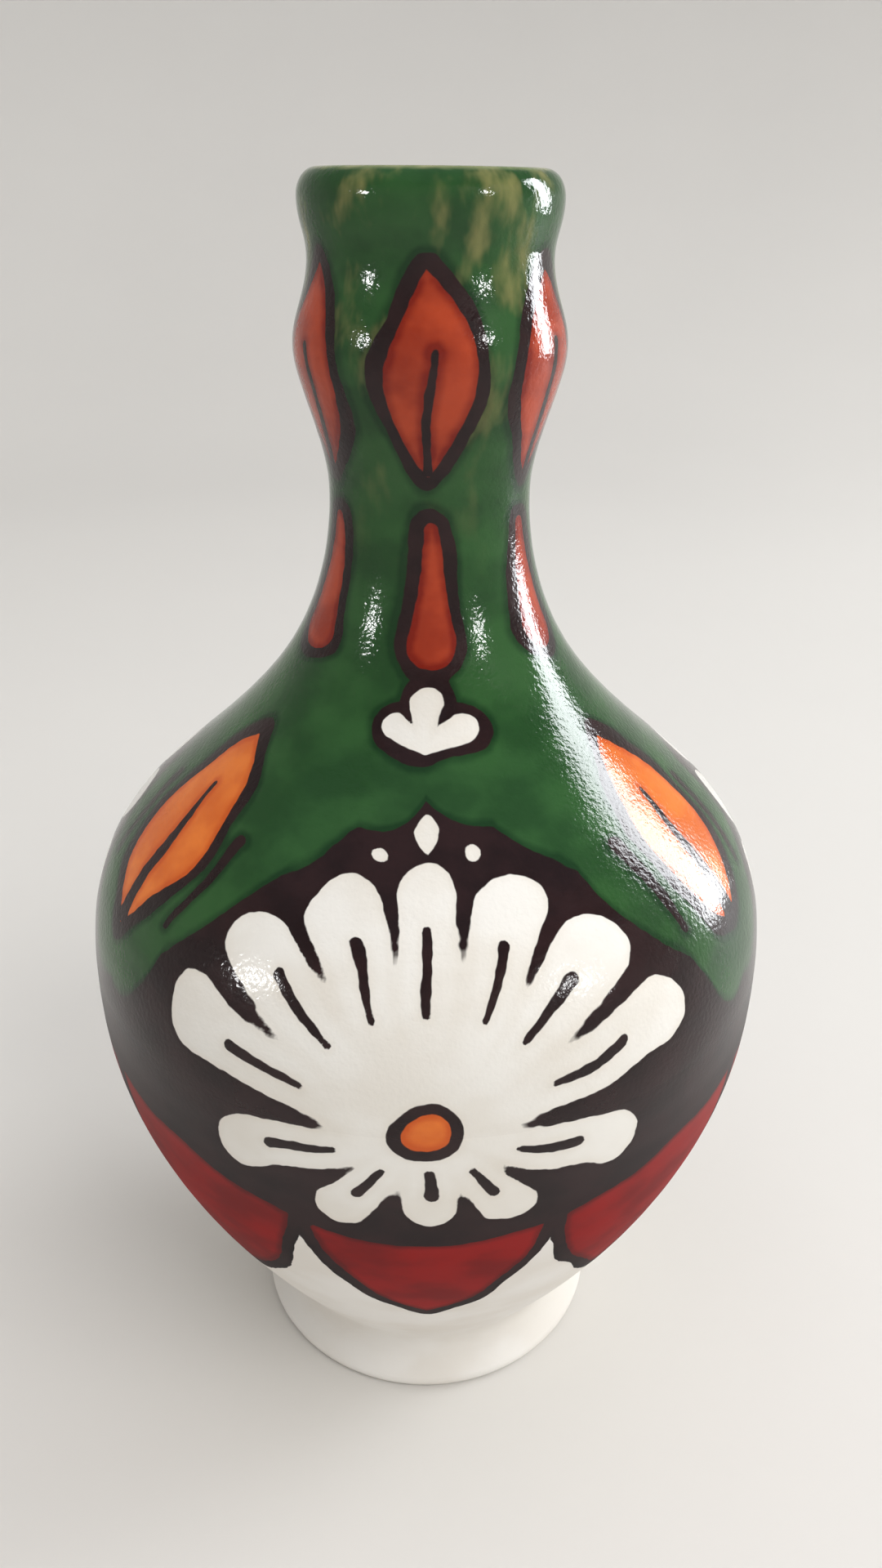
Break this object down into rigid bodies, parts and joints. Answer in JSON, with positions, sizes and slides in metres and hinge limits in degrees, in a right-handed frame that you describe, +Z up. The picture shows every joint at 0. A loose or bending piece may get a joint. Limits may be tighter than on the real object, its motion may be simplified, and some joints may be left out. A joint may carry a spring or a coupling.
{
  "type": "earthenware vase",
  "caption": "Glazed earthenware bottle vase with a flared foot ring, round belly, sloping shoulder, slim waisted neck and a bulged mouth with a round lip; holds water and cut stems.",
  "frame": {"origin": "on the table, under the centre of the foot", "axes": "+Z up along the vase's turning axis, towards the mouth; -Y is the front"},
  "size_m": [0.1246, 0.1246, 0.22],
  "materials": {
    "cream_slip": "cream slip under a clear satin glaze",
    "oxblood_and_cream": "painted in oxblood red, cream and brown-black under a clear gloss glaze",
    "leaf_green": "painted in leaf green, brown-black, cream and orange under a clear gloss glaze",
    "moss_green": "painted in moss green and rust under a clear gloss glaze",
    "bottle_green": "painted in bottle green and rust under a clear gloss glaze"
  },
  "bodies": {
    "root": {"foot_ring": "cream_slip", "bowl": "oxblood_and_cream", "shoulder": "leaf_green", "neck": "moss_green", "mouth": "bottle_green"}
  },
  "joints": []
}
